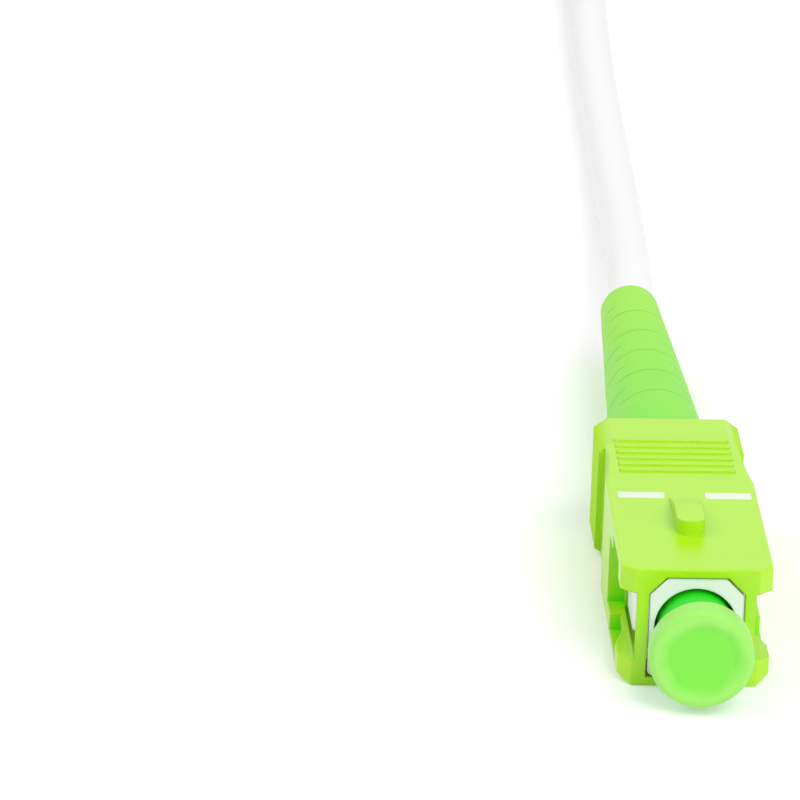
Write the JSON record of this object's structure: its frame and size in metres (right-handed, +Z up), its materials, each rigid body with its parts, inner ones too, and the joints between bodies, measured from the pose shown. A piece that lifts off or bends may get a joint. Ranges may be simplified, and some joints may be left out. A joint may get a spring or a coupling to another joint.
{
  "type": "sc fibre connector",
  "caption": "Push-pull fibre connector with keyed grip, sprung angled ferrule, flexible boot, dust cap and a simplex cable tied in a hank.",
  "frame": {"origin": "middle of the grip's flat underside, which the connector rests on", "axes": "+Z up from the surface, the ferrule faces -Y, the cable leaves towards +Y"},
  "size_m": [0.0284, 0.1922, 0.0131],
  "materials": {
    "grip": "satin moulded PBT, yellow-green",
    "plug_body": "satin moulded PBT, white",
    "zirconia": "polished zirconia",
    "nickel": "satin nickel plating",
    "fibre": "bare glass fibre",
    "buffer": "white tight buffer",
    "guide": "milky white thin plastic tube",
    "spring_steel": "stainless spring wire",
    "yarn": "yellow aramid yarn",
    "boot": "soft green elastomer",
    "cap": "translucent green polyethylene",
    "jacket": "white cable jacket",
    "tie": "dark grey woven hook-and-loop tie"
  },
  "bodies": {
    "plug": {"inner_housing": "plug_body", "rear_body": "nickel", "aramid_yarn": "yarn", "crimp_ring": "nickel", "boot": "boot", "coil_spring": "spring_steel", "cable_run": "jacket", "cable_hank": "jacket", "hank_tie_right": "tie", "hank_tie_left": "tie"},
    "grip": {"outer_housing": "grip"},
    "ferrule_unit": {"ferrule": "zirconia", "ferrule_flange": "nickel", "guide_tube": "guide", "optical_fibre": "fibre", "tight_buffer": "buffer"},
    "cap": {"dust_cap": "cap"}
  },
  "joints": [
    {"name": "grip_release", "type": "slide", "parent": "plug", "child": "grip", "axis": [0, 1, 0], "range_m": [0, 0.002]},
    {"name": "ferrule_travel", "type": "slide", "parent": "plug", "child": "ferrule_unit", "axis": [0, 1, 0], "range_m": [0, 0.001], "stiffness_N_per_m": 2500, "deforming": ["coil_spring"]},
    {"name": "cap_pull", "type": "slide", "parent": "ferrule_unit", "child": "cap", "axis": [0, -1, 0], "range_m": [0, 0.007]}
  ]
}
